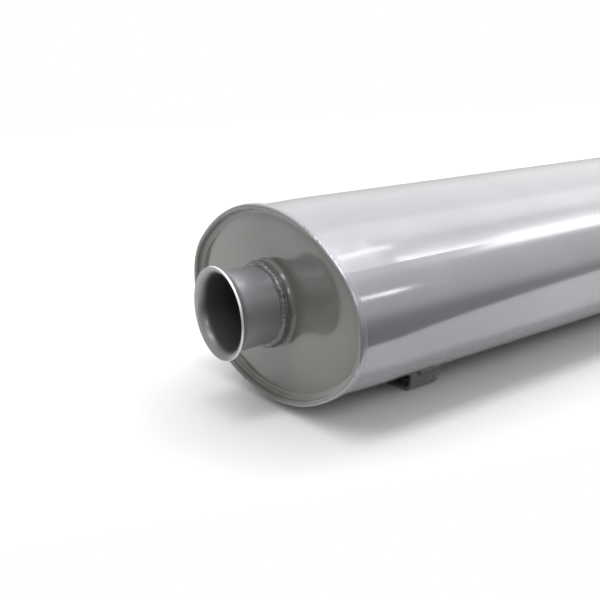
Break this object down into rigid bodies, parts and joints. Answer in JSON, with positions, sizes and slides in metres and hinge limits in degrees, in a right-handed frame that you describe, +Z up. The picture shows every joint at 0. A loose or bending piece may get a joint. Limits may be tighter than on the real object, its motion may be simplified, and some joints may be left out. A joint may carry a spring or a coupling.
{
  "type": "muffler",
  "caption": "Oval sheet-steel exhaust muffler with recessed rolled-rim end plates, short flared stub pipes at both ends and strap saddles underneath.",
  "frame": {"origin": "on the floor plane of the two saddles, under the middle of the body's length and width", "axes": "+X along the body from the inlet towards the outlet, +Z up, +Y to the left of one who looks along +X"},
  "size_m": [0.6916, 0.2286, 0.1584],
  "materials": {
    "shell_paint": "gloss",
    "end_plate_paint": "gloss",
    "pipe_paint": "satin",
    "weld_paint": "satin",
    "saddle_paint": "satin",
    "inner_steel": "satin"
  },
  "bodies": {
    "root": {"outer_shell": "shell_paint", "shell_seam_weld": "shell_paint", "front_end_plate": "end_plate_paint", "rear_end_plate": "end_plate_paint", "inlet_pipe": "pipe_paint", "outlet_pipe": "pipe_paint", "front_pipe_weld": "weld_paint", "rear_pipe_weld": "weld_paint", "front_saddle_right_weld": "weld_paint", "front_saddle_left_weld": "weld_paint", "rear_saddle_right_weld": "weld_paint", "rear_saddle_left_weld": "weld_paint", "front_saddle": "saddle_paint", "rear_saddle": "saddle_paint", "front_baffle": "inner_steel", "middle_baffle": "inner_steel", "rear_baffle": "inner_steel", "left_return_tube": "inner_steel", "right_return_tube": "inner_steel", "inlet_end_cap": "inner_steel", "outlet_end_cap": "inner_steel"}
  },
  "joints": []
}
